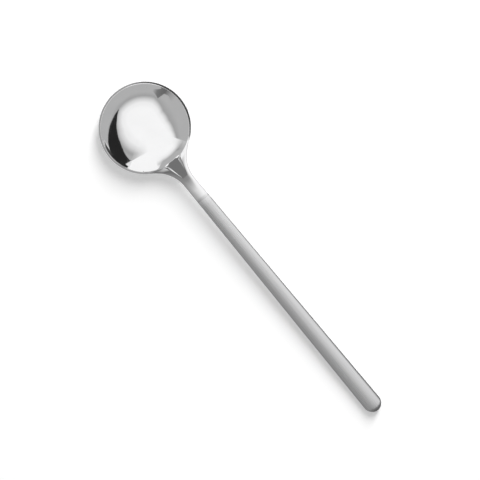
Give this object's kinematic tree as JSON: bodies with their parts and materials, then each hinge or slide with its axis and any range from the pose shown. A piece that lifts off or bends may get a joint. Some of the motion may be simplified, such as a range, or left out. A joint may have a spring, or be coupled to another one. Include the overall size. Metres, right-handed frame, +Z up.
{
  "type": "teaspoon",
  "caption": "Teaspoon with a round polished bowl, a short flat-topped neck and a long satin hollow handle of oval section with a blunt rounded tip.",
  "frame": {"origin": "middle of the spoon's footprint, on the table it lies on", "axes": "+X from the bowl to the handle's tip, +Z up out of the open bowl, +Y to the left seen from the bowl towards the tip"},
  "size_m": [0.142, 0.032, 0.0073],
  "materials": {
    "polished_steel": "mirror polish",
    "satin_steel": "fine satin along the handle",
    "cement": "matt, set resin cement"
  },
  "bodies": {
    "root": {"bowl_and_neck": "polished_steel", "handle_top_shell": "satin_steel", "handle_bottom_shell": "satin_steel", "tang_cement": "cement"}
  },
  "joints": []
}
